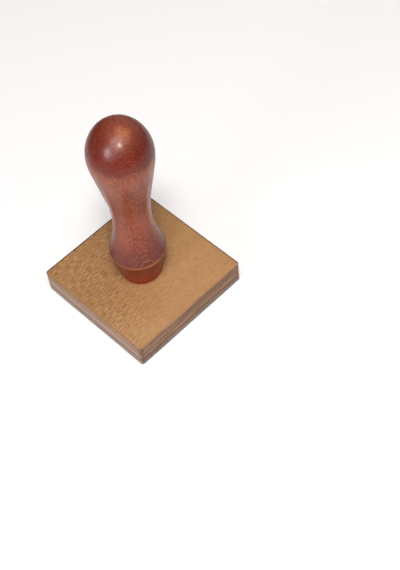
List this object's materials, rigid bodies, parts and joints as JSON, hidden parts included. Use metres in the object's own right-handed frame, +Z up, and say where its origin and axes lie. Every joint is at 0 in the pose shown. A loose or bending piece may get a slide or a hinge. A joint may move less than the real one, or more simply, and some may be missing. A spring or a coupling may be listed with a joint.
{
  "type": "wooden hand stamp",
  "caption": "Hand stamp: turned hardwood handle with a round knob, screwed to a square plywood block with an engraved rubber die glued beneath.",
  "frame": {"origin": "centre of the printing face of the die, which is the plane the stamp stands on", "axes": "+Z up along the handle; X along the grain of the block's top veneer; the block's sides are square to X and Y"},
  "size_m": [0.07, 0.07, 0.1204],
  "materials": {
    "stained_wood": "glossy lacquer over a red-brown stain",
    "long_veneer": "sanded beech veneer",
    "cross_veneer": "cut edge of beech veneer",
    "die_rubber": "matt grey engraved rubber",
    "adhesive": "matt film",
    "zinc_steel": "bright zinc plate"
  },
  "bodies": {
    "root": {"handle": "stained_wood", "wood_screw": "zinc_steel", "face_veneer": "long_veneer", "upper_crossband": "cross_veneer", "upper_long_veneer": "long_veneer", "middle_crossband": "cross_veneer", "lower_long_veneer": "long_veneer", "lower_crossband": "cross_veneer", "back_veneer": "long_veneer", "adhesive_film": "adhesive", "rubber_die": "die_rubber"}
  },
  "joints": []
}
